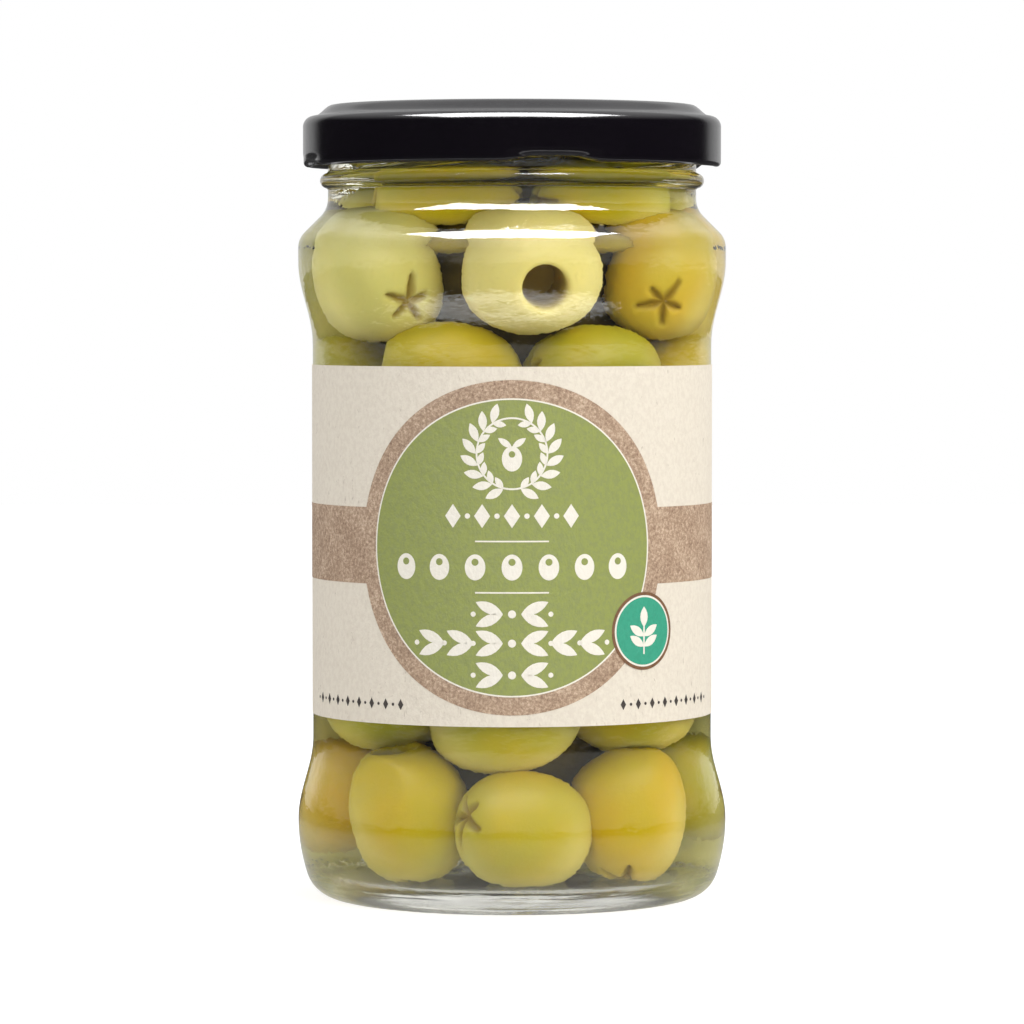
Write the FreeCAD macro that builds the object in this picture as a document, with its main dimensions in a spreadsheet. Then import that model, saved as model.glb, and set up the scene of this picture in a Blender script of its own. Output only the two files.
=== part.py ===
"""A round glass jar of olives in brine, with a wrap-round paper label and a black twist-off lid.

Frame: origin at the centre of the foot, on the surface the jar stands on, +Z up along the jar's
axis, -Y towards the front of the label.  Millimetres and degrees.

The pieces, one node each:
  jar_glass  foot ring and push-up, a belly below and above the straight panel that carries the
             label, shoulder, neck bead and a four-start lug thread
  brine      the jar's contents up to the fill level, which the lid's skirt hides
  label      one sheet of paper round the panel, its ends a few millimetres apart at the back
  lid        pressed tinplate: sunk centre, raised ring, ledge, skirt, rolled edge, four lugs
"""
import FreeCAD, Part

import math
import os
import re

import Sketcher

# The driving dimensions, each written once.
SIZES = {
    # levels: the lower belly is set from the foot up, the rest from the rim down
    "jar_height": 125.85,
    "low_belly_level": 12.5,
    "low_blend": 13.2,
    "high_blend": 13.2,
    "belly_land": 2.1,
    "neck_length": 2.8,
    "bead_drop": 11.75,
    "headspace": 7.85,
    # outside radii of the glass
    "low_belly_radius": 34.13,
    "high_belly_radius": 34.04,
    "panel_radius": 31.75,
    "neck_radius": 29.3,
    # the glass itself
    "wall": 2.2,
    "neck_wall": 2.9,
    "base_thickness": 4.0,
    "push_up": 2.6,
    "foot_width": 1.8,
    "heel_round": 5.4,
    "inner_heel_round": 5.0,
    "heel_inset": 1.13,
    "shoulder_round": 5.5,
    "shoulder_slope": 45.0,
    "shoulder_drop": 0.9,
    "neck_round": 3.0,
    "bead_proud": 1.25,
    "bead_round": 1.25,
    "bead_fillet": 0.45,
    "rim_round": 1.1,
    # the lug thread on the glass
    "thread_rise": 3.7,
    "thread_proud": 1.6,
    "thread_round": 1.0,
    "thread_tilt": 5.5,
    "thread_sweep": 95.0,
    "thread_turn": -10.5,
    "thread_starts": 4,
    # the label
    "label_bottom_margin": 3.8,
    "label_top_margin": 2.8,
    "paper_thickness": 0.12,
    "label_gap": 5.0,
    # the lid
    "tin": 0.25,
    "skirt_gap": 2.35,
    "skirt_clearance": 0.95,
    "lid_shoulder_round": 1.7,
    "ledge_drop": 1.75,
    "ring_overlap": 0.7,
    "sink_clearance": 0.5,
    "sink_blend": 1.9,
    "sink_depth": 0.9,
    "button_radius": 9.5,
    "button_blend": 2.5,
    "button_depth": 0.4,
    "curl_round": 0.75,
    "lug_turn": 11.5,
    "lug_angle": 28.0,
    "lug_clearance": 0.35,
    "lug_height": 1.9,
    "lug_lift": 0.15,
    "lug_round": 0.3,
}
FULL_TURN = 360

doc = FreeCAD.newDocument("olive_jar")
sheet = doc.addObject("Spreadsheet::Sheet", "sizes")
for row, (size_name, size_value) in enumerate(SIZES.items(), start=1):
    sheet.set(f"A{row}", size_name)
    sheet.set(f"B{row}", str(size_value))
    sheet.setAlias(f"B{row}", size_name)
doc.recompute()


def formula(text):
    """An expression in size names, as one that reads the sheet."""
    return re.sub(r"[a-z_]{2,}", lambda word: f"sizes.{word[0]}" if word[0] in SIZES else word[0], text)


class Outline:
    """A closed sketch outline drawn edge by edge; x is the distance from the axis, z the level.

    Each corner and radius is an expression in size names, and stays tied to the sheet.
    """

    def __init__(self, sketch, x, z):
        self.sketch = sketch
        self.start = (x, z)
        self.corner = (x, z)
        self.first = None
        self.last = None

    def value(self, text):
        return float(self.sketch.evalExpression(formula(text)))

    def spot(self, corner):
        return FreeCAD.Vector(self.value(corner[0]), self.value(corner[1]), 0)

    def constrain(self, *what):
        return self.sketch.addConstraint(Sketcher.Constraint(*what))

    def tie(self, kind, axis, edge, end, text):
        """Tie one coordinate of an edge's end to the sheet; a plain 0 puts it on the axis."""
        if text == "0":
            self.constrain("PointOnObject", edge, end, axis)
            return
        number = self.constrain(kind, -1, 1, edge, end, self.value(text))
        self.sketch.setExpression(f"Constraints[{number}]", formula(text))

    def join(self, edge, near, far, corner):
        if self.last:
            self.constrain("Coincident", *self.last, edge, near)
        else:
            self.first = (edge, near)
        if corner == self.start:
            self.constrain("Coincident", edge, far, *self.first)
        self.tie("DistanceX", -2, edge, far, corner[0])
        self.tie("DistanceY", -1, edge, far, corner[1])
        self.last = (edge, far)
        self.corner = corner

    def line(self, x, z):
        edge = self.sketch.addGeometry(Part.LineSegment(self.spot(self.corner), self.spot((x, z))))
        self.join(edge, 1, 2, (x, z))

    def close(self):
        self.line(*self.start)

    def arc(self, x, z, radius, turn):
        """An arc of under half a turn, bending to the "left" or "right" of its way."""
        here = self.spot(self.corner)
        there = self.spot((x, z))
        reach = self.value(radius)
        left = turn == "left"
        inward = FreeCAD.Vector(here.y - there.y, there.x - here.x, 0).normalize()
        depth = math.sqrt(reach ** 2 - (there - here).Length ** 2 / 4)
        centre = (here + there) * 0.5 + inward * (depth if left else -depth)
        ends = [here, there] if left else [there, here]
        angles = [math.atan2(end.y - centre.y, end.x - centre.x) for end in ends]
        circle = Part.Circle(centre, FreeCAD.Vector(0, 0, 1), reach)
        edge = self.sketch.addGeometry(Part.ArcOfCircle(circle, *angles))
        number = self.constrain("Radius", edge, reach)
        self.sketch.setExpression(f"Constraints[{number}]", formula(radius))
        self.join(edge, *((1, 2) if left else (2, 1)), (x, z))

    def swell(self, x, z, turn):
        """Two equal arcs on the way up, upright at both ends; turn is the first one's."""
        x0, z0 = self.corner
        run = f"(({x}) - ({x0}))"
        rise = f"(({z}) - ({z0}))"
        radius = f"({run}^2 + {rise}^2) / (4 * abs({run}))"
        self.arc(f"({x0} + {x}) / 2", f"({z0} + {z}) / 2", radius, turn)
        self.arc(x, z, radius, "right" if turn == "left" else "left")

    def step(self, x, z, outward, rising, under="0"):
        """Two arcs, level at both ends; under is how far this face lies below the step's top."""
        x0, z0 = self.corner
        run = f"(({x}) - ({x0}))"
        rise = f"(({z}) - ({z0}))"
        radius = f"(({run}^2 + {rise}^2) / (4 * abs({rise})))"
        slope = f"(2 * atan(abs({rise} / {run})))"
        uphill_outward = outward == rising
        lean = "+" if uphill_outward else "-"
        middle_x = f"({x0} + {x}) / 2 {lean} ({under}) * sin({slope})"
        middle_z = f"({z0} + {z}) / 2 + ({under}) * (1 - cos({slope}))"
        crown = (f"{radius} - {under}", "right" if outward else "left")
        hollow = (f"{radius} + {under}", "left" if outward else "right")
        first, second = (hollow, crown) if rising else (crown, hollow)
        self.arc(middle_x, middle_z, *first)
        self.arc(x, z, *second)


def plane_of(body, role):
    return next(item for item in body.Origin.OriginFeatures if item.Role == role)


def make_body(name):
    body = doc.addObject("PartDesign::Body", name)
    body.Label = name
    return body


def turn_body(body, angle):
    """Turn a finished piece about the jar's axis; the first angle only sets that axis."""
    upright = FreeCAD.Rotation(FreeCAD.Vector(0, 0, 1), 1)
    body.Placement = FreeCAD.Placement(FreeCAD.Vector(0, 0, 0), upright)
    body.setExpression("Placement.Rotation.Angle", formula(angle))


def upright_sketch(body, name):
    sketch = body.newObject("Sketcher::SketchObject", name)
    sketch.AttachmentSupport = [(plane_of(body, "XZ_Plane"), "")]
    sketch.MapMode = "FlatFace"
    return sketch


def spin(body, sketch, name, kind="Revolution", angle=None):
    """Turn a sketch about its upright axis: all the way, or by an angle centred on the sketch."""
    feature = body.newObject(f"PartDesign::{kind}", name)
    feature.Profile = sketch
    feature.ReferenceAxis = (sketch, ["V_Axis"])
    feature.Angle = FULL_TURN
    if angle:
        feature.Midplane = True
        feature.setExpression("Angle", formula(angle))
    return feature


def repeat_round(body, feature, name, count):
    """Repeat a feature evenly about the jar's axis."""
    pattern = body.newObject("PartDesign::PolarPattern", name)
    pattern.Originals = [feature]
    pattern.Axis = (plane_of(body, "Z_Axis"), [""])
    pattern.Angle = FULL_TURN
    pattern.setExpression("Occurrences", formula(count))
    body.Tip = pattern
    return pattern


# ---- levels and radii that the pieces share ---------------------------------------------------

BEAD = "(jar_height - bead_drop)"
NECK_START = f"({BEAD} - neck_length)"
ROUNDS = "(shoulder_round + neck_round)"
SAG = "(1 - cos(shoulder_slope))"
SHOULDER = (f"({NECK_START} - {ROUNDS} * sin(shoulder_slope)"
            f" - (high_belly_radius - neck_radius - {ROUNDS} * {SAG}) / tan(shoulder_slope))")
HIGH_BELLY = f"({SHOULDER} - belly_land)"
PANEL_TOP = f"({HIGH_BELLY} - high_blend)"
PANEL_BOTTOM = "(low_belly_level + low_blend)"
BORE = "(neck_radius - neck_wall)"

# ---- the glass -------------------------------------------------------------------------------

def climb_wall(outline, side, heel, floor):
    """Draw one face of the jar's wall from the edge of its floor up to the neck.

    side is how far the face lies inside the jar's outline, floor its lowest level.
    """
    radius = f"(low_belly_radius - {side})"
    foot = f"({radius} - heel_inset - {heel})"
    across = f"({heel} + heel_inset)"
    upward = f"(low_belly_level - ({floor}) - {heel})"
    belly_round = f"(({across}^2 + {upward}^2 - {heel}^2) / (2 * heel_inset))"
    share = f"({heel} / ({belly_round} - {heel}))"
    outline.arc(f"{foot} + {share} * ({belly_round} - {across})",
                f"{floor} + {heel} - {share} * {upward}", heel, "left")
    outline.arc(radius, "low_belly_level", belly_round, "left")
    outline.swell(f"panel_radius - {side}", PANEL_BOTTOM, "left")
    outline.line(f"panel_radius - {side}", PANEL_TOP)
    belly = f"(high_belly_radius - {side})"
    outline.swell(belly, HIGH_BELLY, "right")
    # the shoulder: two rounds with a straight slope between them
    inside = side != "0"
    slope_start = f"({SHOULDER} - shoulder_drop)" if inside else SHOULDER
    neck = BORE if inside else "neck_radius"
    slope_foot = f"({slope_start} + shoulder_round * sin(shoulder_slope))"
    slope_head = f"({slope_foot} + ({belly} - {neck} - {ROUNDS} * {SAG}) / tan(shoulder_slope))"
    outline.line(belly, slope_start)
    outline.arc(f"{belly} - shoulder_round * {SAG}", slope_foot, "shoulder_round", "left")
    outline.line(f"{neck} + neck_round * {SAG}", slope_head)
    outline.arc(neck, f"{slope_head} + neck_round * sin(shoulder_slope)", "neck_round", "right")


def climb_bead(outline):
    """The rounded bead below the thread, with a small fillet above and below it."""
    centre = "(neck_radius + bead_proud - bead_round)"
    reach = "(bead_round + bead_fillet)"
    out = f"({reach} - bead_proud)"
    rise = f"sqrt({reach}^2 - {out}^2)"
    touch_x = f"{centre} + bead_round / {reach} * {out}"
    touch_rise = f"bead_round / {reach} * {rise}"
    outline.line("neck_radius", f"{BEAD} - {rise}")
    outline.arc(touch_x, f"{BEAD} - {touch_rise}", "bead_fillet", "right")
    outline.arc(f"{centre} + bead_round", BEAD, "bead_round", "left")
    outline.arc(touch_x, f"{BEAD} + {touch_rise}", "bead_round", "left")
    outline.arc("neck_radius", f"{BEAD} + {rise}", "bead_fillet", "right")


def floor_edge(side, heel):
    return f"low_belly_radius - {side} - heel_inset - {heel}"


def vault_round(edge):
    """The radius of a shallow vault that rises by the push-up inside a circle of radius edge."""
    return f"(({edge})^2 + push_up^2) / (2 * push_up)"


def cavity_outline(sketch):
    """The jar's inside from the middle of its vaulted floor to the neck."""
    edge = floor_edge("wall", "inner_heel_round")
    outline = Outline(sketch, "0", "base_thickness + push_up")
    outline.arc(edge, "base_thickness", vault_round(edge), "right")
    climb_wall(outline, "wall", "inner_heel_round", "base_thickness")
    return outline


def make_glass():
    body = make_body("jar_glass")

    outside = upright_sketch(body, "glass_outside")
    foot = floor_edge("0", "heel_round")
    outline = Outline(outside, "0", "push_up")
    outline.arc(f"{foot} - foot_width", "0", vault_round(f"{foot} - foot_width"), "right")
    outline.line(foot, "0")
    climb_wall(outline, "0", "heel_round", "0")
    climb_bead(outline)
    outline.line("neck_radius", "jar_height - rim_round")
    outline.arc("neck_radius - rim_round", "jar_height", "rim_round", "left")
    outline.line("0", "jar_height")
    outline.close()
    spin(body, outside, "glass_blank")

    # one thread: a rounded ridge on a tilted circle, so that it climbs as it goes round
    ridge = upright_sketch(body, "thread_section")
    tilt = FreeCAD.Rotation(FreeCAD.Vector(1, 0, 0), SIZES["thread_tilt"])
    ridge.AttachmentOffset = FreeCAD.Placement(FreeCAD.Vector(0, SIZES["jar_height"], 0), tilt)
    ridge.setExpression("AttachmentOffset.Base.y", formula(f"{BEAD} + thread_rise"))
    ridge.setExpression("AttachmentOffset.Rotation.Angle", formula("thread_tilt"))
    crest = "neck_radius + thread_proud"
    outline = Outline(ridge, crest, "0")
    outline.arc(f"{crest} - thread_round", "thread_round", "thread_round", "left")
    outline.line("neck_radius - thread_round", "thread_round")
    outline.line("neck_radius - thread_round", "-thread_round")
    outline.line(f"{crest} - thread_round", "-thread_round")
    outline.arc(crest, "0", "thread_round", "left")
    thread = spin(body, ridge, "thread", angle="thread_sweep")
    repeat_round(body, thread, "threads", "thread_starts")

    inside = upright_sketch(body, "glass_inside")
    outline = cavity_outline(inside)
    outline.line(BORE, "jar_height - rim_round")
    outline.arc(f"{BORE} + rim_round", "jar_height", "rim_round", "right")
    outline.line(f"{BORE} + rim_round", "jar_height + rim_round")
    outline.line("0", "jar_height + rim_round")
    outline.close()
    body.Tip = spin(body, inside, "glass_cavity", "Groove")
    turn_body(body, "thread_turn")
    return body


def make_brine():
    body = make_body("brine")
    section = upright_sketch(body, "brine_section")
    outline = cavity_outline(section)
    outline.line(BORE, "jar_height - headspace")
    outline.line("0", "jar_height - headspace")
    outline.close()
    body.Tip = spin(body, section, "brine_fill")
    return body


# ---- the label -------------------------------------------------------------------------------

def make_label():
    body = make_body("label")
    section = upright_sketch(body, "paper_section")
    bottom = f"{PANEL_BOTTOM} + label_bottom_margin"
    top = f"{PANEL_TOP} - label_top_margin"
    outline = Outline(section, "panel_radius", bottom)
    outline.line("panel_radius + paper_thickness", bottom)
    outline.line("panel_radius + paper_thickness", top)
    outline.line("panel_radius", top)
    outline.close()
    wrap = f"{FULL_TURN} * (1 - label_gap / (2 * pi * panel_radius))"
    body.Tip = spin(body, section, "paper_wrap", angle=wrap)
    turn_body(body, "-90")  # the middle of the sheet faces the front
    return body


# ---- the lid ---------------------------------------------------------------------------------

# levels and radii of the pressing, on its upper face
TOP = "(jar_height + tin)"
LEDGE = f"({TOP} - ledge_drop)"
SUNK = f"({TOP} - sink_depth)"
BUTTON = f"({SUNK} - button_depth)"
SKIRT_FOOT = f"({BEAD} + bead_round + skirt_clearance)"
LID_RADIUS = "(neck_radius + thread_proud + skirt_gap)"
SHOULDER_IN = f"({LID_RADIUS} - lid_shoulder_round)"
RING_OUT = "(neck_radius - ring_overlap)"
RING_IN = f"({BORE} - sink_clearance)"
CURL_IN = f"({LID_RADIUS} - 2 * curl_round)"
LUG_ROOT = f"({SKIRT_FOOT} + lug_height)"


def draw_lid_section(sketch):
    outline = Outline(sketch, "0", BUTTON)
    outline.line("button_radius", BUTTON)
    outline.step("button_radius + button_blend", SUNK, outward=True, rising=True)
    outline.line(f"{RING_IN} - sink_blend", SUNK)
    outline.step(RING_IN, TOP, outward=True, rising=True)
    outline.line(RING_OUT, TOP)
    outline.step(SHOULDER_IN, LEDGE, outward=True, rising=False)
    outline.arc(LID_RADIUS, f"{LEDGE} - lid_shoulder_round", "lid_shoulder_round", "right")
    outline.line(LID_RADIUS, f"{SKIRT_FOOT} + curl_round")
    # the rolled edge
    outline.arc(f"{LID_RADIUS} - curl_round", SKIRT_FOOT, "curl_round", "right")
    outline.arc(CURL_IN, f"{SKIRT_FOOT} + curl_round", "curl_round", "right")
    outline.arc(f"{LID_RADIUS} - curl_round", f"{SKIRT_FOOT} + 2 * curl_round", "curl_round", "right")
    # back up and in along the underside
    outline.line(f"{LID_RADIUS} - tin", f"{SKIRT_FOOT} + 2 * curl_round")
    outline.line(f"{LID_RADIUS} - tin", f"{LEDGE} - lid_shoulder_round")
    outline.arc(SHOULDER_IN, f"{LEDGE} - tin", "lid_shoulder_round - tin", "left")
    outline.step(RING_OUT, f"{TOP} - tin", outward=False, rising=True, under="tin")
    outline.line(RING_IN, f"{TOP} - tin")
    outline.step(f"{RING_IN} - sink_blend", f"{SUNK} - tin", outward=False, rising=False, under="tin")
    outline.line("button_radius + button_blend", f"{SUNK} - tin")
    outline.step("button_radius", f"{BUTTON} - tin", outward=False, rising=False, under="tin")
    outline.line("0", f"{BUTTON} - tin")
    outline.close()


def draw_lug_clearance(sketch):
    """What a lug takes out of the rolled edge and the foot of the skirt."""
    inner = f"{CURL_IN} - tin"
    outer = f"{LID_RADIUS} + tin"
    outline = Outline(sketch, inner, f"{SKIRT_FOOT} - tin")
    outline.line(outer, f"{SKIRT_FOOT} - tin")
    outline.line(outer, LUG_ROOT)
    outline.line(inner, LUG_ROOT)
    outline.close()


def draw_lug_section(sketch):
    """The skirt's foot pressed in below a thread and rolled into a rounded toe."""
    toe = "(neck_radius + lug_clearance + lug_round)"
    toe_foot = f"({SKIRT_FOOT} + lug_lift)"
    toe_head = f"({toe_foot} + 2 * lug_round)"
    bend = f"({LUG_ROOT} - {toe_foot})"
    outline = Outline(sketch, LID_RADIUS, LUG_ROOT)
    outline.arc(f"{LID_RADIUS} - {bend}", toe_foot, bend, "right")
    outline.line(toe, toe_foot)
    outline.arc(f"{toe} - lug_round", f"{toe_foot} + lug_round", "lug_round", "right")
    outline.arc(toe, toe_head, "lug_round", "right")
    outline.line(f"{LID_RADIUS} - {bend}", toe_head)
    outline.line(f"{LID_RADIUS} - tin", LUG_ROOT)
    outline.close()


def make_lid():
    body = make_body("lid")
    section = upright_sketch(body, "lid_section")
    draw_lid_section(section)
    spin(body, section, "lid_pressing")

    clearance = upright_sketch(body, "lug_clearance_section")
    draw_lug_clearance(clearance)
    cut = spin(body, clearance, "lug_clearance", "Groove", angle="lug_angle")
    repeat_round(body, cut, "lug_clearances", "thread_starts")

    lug_section = upright_sketch(body, "lug_section")
    draw_lug_section(lug_section)
    lug = spin(body, lug_section, "lug", angle="lug_angle")
    repeat_round(body, lug, "lugs", "thread_starts")
    turn_body(body, "lug_turn")
    return body


# ---- build, test and write -------------------------------------------------------------------

pieces = [make_glass(), make_brine(), make_label(), make_lid()]
doc.recompute()

for item in doc.Objects:
    if "Invalid" in item.State or "Error" in item.State:
        raise RuntimeError(f"{item.Name} failed: {item.State}")

os.makedirs("parts", exist_ok=True)
for piece in pieces:
    shape = piece.Shape
    if shape.isNull() or not shape.isValid() or len(shape.Solids) != 1:
        raise RuntimeError(f"{piece.Label} is not one valid solid")
    shape.exportStep(f"parts/{piece.Label}.step")
    box = shape.BoundBox
    print(f"{piece.Label}: {shape.Volume / 1000:.2f} cm3, "
          f"{box.XLength:.2f} x {box.YLength:.2f} x {box.ZLength:.2f} mm, {box.ZMin:.2f} to {box.ZMax:.2f}")
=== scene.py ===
# %% [markdown]
# # A glass jar of pitted green olives
# The jar is clear pressed glass with a wide belly below and above a straight panel. A paper label goes
# round the panel, black tinplate closes the neck with four lugs, and whole green olives stand in brine.
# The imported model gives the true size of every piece, so each piece here starts from its box.

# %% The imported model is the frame
import math
import random

import bmesh
import bpy
from mathutils import Matrix, Vector, noise


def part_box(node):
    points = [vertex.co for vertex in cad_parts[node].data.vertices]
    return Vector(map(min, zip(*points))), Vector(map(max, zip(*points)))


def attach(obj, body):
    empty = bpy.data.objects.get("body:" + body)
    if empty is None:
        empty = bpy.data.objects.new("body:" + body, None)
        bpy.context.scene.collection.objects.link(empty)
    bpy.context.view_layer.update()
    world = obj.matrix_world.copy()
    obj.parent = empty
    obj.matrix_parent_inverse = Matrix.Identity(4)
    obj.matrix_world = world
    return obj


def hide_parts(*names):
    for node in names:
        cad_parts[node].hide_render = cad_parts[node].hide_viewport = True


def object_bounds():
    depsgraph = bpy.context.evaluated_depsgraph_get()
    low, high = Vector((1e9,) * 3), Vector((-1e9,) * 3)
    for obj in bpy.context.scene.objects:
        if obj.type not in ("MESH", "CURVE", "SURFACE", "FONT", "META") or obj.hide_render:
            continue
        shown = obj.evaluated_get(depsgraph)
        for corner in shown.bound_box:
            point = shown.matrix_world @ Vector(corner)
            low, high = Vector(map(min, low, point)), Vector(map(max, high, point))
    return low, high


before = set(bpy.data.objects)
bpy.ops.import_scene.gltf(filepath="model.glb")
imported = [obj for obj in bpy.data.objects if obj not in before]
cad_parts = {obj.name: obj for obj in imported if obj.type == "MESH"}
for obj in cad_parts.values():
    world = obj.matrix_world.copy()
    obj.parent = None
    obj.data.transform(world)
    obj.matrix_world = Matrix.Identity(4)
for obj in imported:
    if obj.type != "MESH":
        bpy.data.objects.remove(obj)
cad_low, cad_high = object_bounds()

MM = 0.001


def box_in_mm(node):
    """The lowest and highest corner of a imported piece, in millimetres."""
    low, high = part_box(node)
    return low / MM, high / MM


_, glass_high = box_in_mm("jar_glass")
_, brine_high = box_in_mm("brine")
label_low, label_high = box_in_mm("label")
lid_low, lid_high = box_in_mm("lid")
print("nodes", sorted(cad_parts), "jar height", round(glass_high.z, 2), "mm")

# %% [markdown]
# ## Outlines of turned shapes
# Glass, brine, olives and lid are all round about an axis, so each begins as half an outline that is
# spun. An outline is a few corners joined by lines, arcs and easy S-bends. The helper below keeps the
# points close together on the bends, because glass shows every flat spot in its reflections.

# %% An outline and how it is spun
class Outline:
    """Points (distance from the axis, level) in millimetres, in the order in which they are drawn."""

    def __init__(self, out, level):
        self.points = [(out, level)]

    def line(self, out, level, spacing=50.0):
        x, z = self.points[-1]
        count = max(1, math.ceil(math.hypot(out - x, level - z) / spacing))
        for k in range(1, count + 1):
            self.points.append((x + (out - x) * k / count, z + (level - z) * k / count))

    def arc(self, out, level, radius, turn, fineness=9.0):
        """An arc of under half a turn that bends to the "left" or "right" of its way."""
        x, z = self.points[-1]
        run, rise = out - x, level - z
        chord = math.hypot(run, rise)
        side = 1 if turn == "left" else -1
        depth = side * math.sqrt(max(radius ** 2 - chord ** 2 / 4, 0))
        middle_x = (x + out) / 2 - rise / chord * depth
        middle_z = (z + level) / 2 + run / chord * depth
        start = math.atan2(z - middle_z, x - middle_x)
        sweep = side * 2 * math.asin(min(chord / 2 / radius, 1))
        count = max(2, math.ceil(abs(math.degrees(sweep)) / fineness))
        for k in range(1, count + 1):
            angle = start + sweep * k / count
            self.points.append((middle_x + radius * math.cos(angle), middle_z + radius * math.sin(angle)))

    def swell(self, out, level, count=14):
        """An S-bend that is upright at both ends."""
        x, z = self.points[-1]
        for k in range(1, count + 1):
            ease = (1 - math.cos(math.pi * k / count)) / 2
            self.points.append((x + (out - x) * ease, z + (level - z) * k / count))

    def step(self, out, level, count=8):
        """An S-bend that is level at both ends."""
        x, z = self.points[-1]
        for k in range(1, count + 1):
            ease = (1 - math.cos(math.pi * k / count)) / 2
            self.points.append((x + (out - x) * k / count, z + (level - z) * ease))


def spun(points, segments, weld=1e-4):
    """A closed turned shape from half its outline, whose two ends lie on the axis."""
    bm = bmesh.new()
    verts = [bm.verts.new((out, 0, level)) for out, level in points]
    edges = [bm.edges.new(pair) for pair in zip(verts, verts[1:])]
    bmesh.ops.spin(bm, geom=verts + edges, cent=(0, 0, 0), axis=(0, 0, 1), angle=math.tau,
                   steps=segments, use_merge=True)
    bmesh.ops.remove_doubles(bm, verts=bm.verts, dist=weld)
    bmesh.ops.recalc_face_normals(bm, faces=bm.faces)
    return bm


def smooth(value, low, high):
    """0 below low, 1 above high, and an easy bend between; low may be the larger one."""
    share = min(max((value - low) / (high - low), 0.0), 1.0)
    return share * share * (3 - 2 * share)


# %% [markdown]
# ## From a shape to a piece
# Shapes are drawn in millimetres and scaled once at the end. Every piece sits at the origin with its
# place in its mesh, rides on the one body, takes its finish as its one material, and hides the imported
# piece it stands for, where there is one.

# %% Finish a piece
def piece_from(bm, name, material, sharp=40.0, node=None):
    """Turn a millimetre shape into a piece that rides on the jar."""
    bmesh.ops.transform(bm, matrix=Matrix.Scale(MM, 4), verts=bm.verts)
    mesh = bpy.data.meshes.new(name)
    bm.to_mesh(mesh)
    bm.free()
    mesh.shade_smooth()
    mesh.set_sharp_from_angle(angle=math.radians(sharp))
    mesh.materials.append(material)
    piece = bpy.data.objects.new(name, mesh)
    bpy.context.scene.collection.objects.link(piece)
    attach(piece, "root")
    if node:
        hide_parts(node)
    mesh.calc_loop_triangles()
    print(f"{name}: {len(mesh.loop_triangles)} triangles")
    return piece


# %% [markdown]
# ## Writing finishes
# A finish is a small net of shader nodes. `Value` wraps a socket that carries a number, so arithmetic on
# it reads as plain Python and adds the Math nodes. Every other node comes from `Finish.add`.

# %% The node writer
class Value:
    """A number that varies over the surface."""

    def __init__(self, finish, socket):
        self.finish = finish
        self.socket = socket

    def math(self, operation, first, second):
        node = self.finish.add("ShaderNodeMath", {"operation": operation}, {0: first, 1: second})
        return Value(self.finish, node.outputs[0])

    def __add__(self, other):
        return self.math("ADD", self, other)

    def __sub__(self, other):
        return self.math("SUBTRACT", self, other)

    def __rsub__(self, other):
        return self.math("SUBTRACT", other, self)

    def __mul__(self, other):
        return self.math("MULTIPLY", self, other)

    def most(self, other):
        return self.math("MAXIMUM", self, other)

    def above(self, low, high):
        """0 below low, 1 above high, with an easy bend between."""
        node = self.finish.add("ShaderNodeMapRange", {"interpolation_type": "SMOOTHSTEP"},
                               {"Value": self, "From Min": low, "From Max": high})
        return Value(self.finish, node.outputs[0])

    __radd__ = __add__
    __rmul__ = __mul__


class Finish:
    """A node tree that is being written: a material's or the world's."""

    def __init__(self, owner):
        owner.use_nodes = True
        self.tree = owner.node_tree
        self.tree.nodes.clear()

    def add(self, kind, settings=None, sockets=None):
        """Add a node: its settings first, then a value or a link for each socket named."""
        node = self.tree.nodes.new(kind)
        for name, setting in (settings or {}).items():
            if name == "stops":
                self.set_stops(node.color_ramp, setting)
            else:
                setattr(node, name, setting)
        for name, given in (sockets or {}).items():
            self.feed(self.find(node, name), given)
        return node

    def find(self, node, name):
        if isinstance(name, int):
            return node.inputs[name]
        return next(socket for socket in node.inputs if socket.name == name and socket.enabled)

    def feed(self, socket, given):
        if isinstance(given, Value):
            given = given.socket
        if isinstance(given, bpy.types.NodeSocket):
            self.tree.links.new(given, socket)
        else:
            socket.default_value = given

    def set_stops(self, ramp, stops):
        while len(ramp.elements) < len(stops):
            ramp.elements.new(0.5)
        for element, (position, colour) in zip(ramp.elements, stops):
            element.position = position
            element.color = colour

    def value(self, node, output=0):
        return Value(self, node.outputs[output])

    def place(self, scale=(1, 1, 1)):
        """The object's own coordinates in metres, stretched by scale."""
        where = self.add("ShaderNodeTexCoord")
        turn = self.add("ShaderNodeMapping", None,
                        {"Vector": where.outputs["Object"], "Scale": scale})
        return turn.outputs[0]

    def noise(self, per_mm, detail=3.0, roughness=0.5, stretch=(1, 1, 1), twist=0.0):
        """Soft noise with so many cells to a millimetre, from 0 to 1."""
        node = self.add("ShaderNodeTexNoise", None,
                        {"Vector": self.place(stretch), "Scale": per_mm / MM, "Detail": detail,
                         "Roughness": roughness, "Distortion": twist})
        return self.value(node)

    def attribute(self, name):
        return self.value(self.add("ShaderNodeAttribute", {"attribute_name": name}), "Fac")

    def mixed(self, factor, first, second):
        node = self.add("ShaderNodeMix", {"data_type": "RGBA"},
                        {"Factor": factor, "A": first, "B": second})
        return node.outputs["Result"]

    def bump(self, height, depth_mm, strength=1.0):
        node = self.add("ShaderNodeBump", None,
                        {"Height": height, "Distance": depth_mm * MM, "Strength": strength})
        return node.outputs[0]

    def surface(self, sockets):
        return self.add("ShaderNodeBsdfPrincipled", None, sockets)

    def end(self, shader, kind="ShaderNodeOutputMaterial"):
        self.add(kind, None, {"Surface": shader.outputs[0]})


def srgb(red, green, blue):
    """A colour as it is seen on a screen, 0 to 255, as the shader's linear colour."""
    parts = [channel / 255 for channel in (red, green, blue)]
    return (*[p / 12.92 if p <= 0.04045 else ((p + 0.055) / 1.055) ** 2.4 for p in parts], 1.0)


def new_finish(name):
    material = bpy.data.materials.new(name)
    return material, Finish(material)


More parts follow.
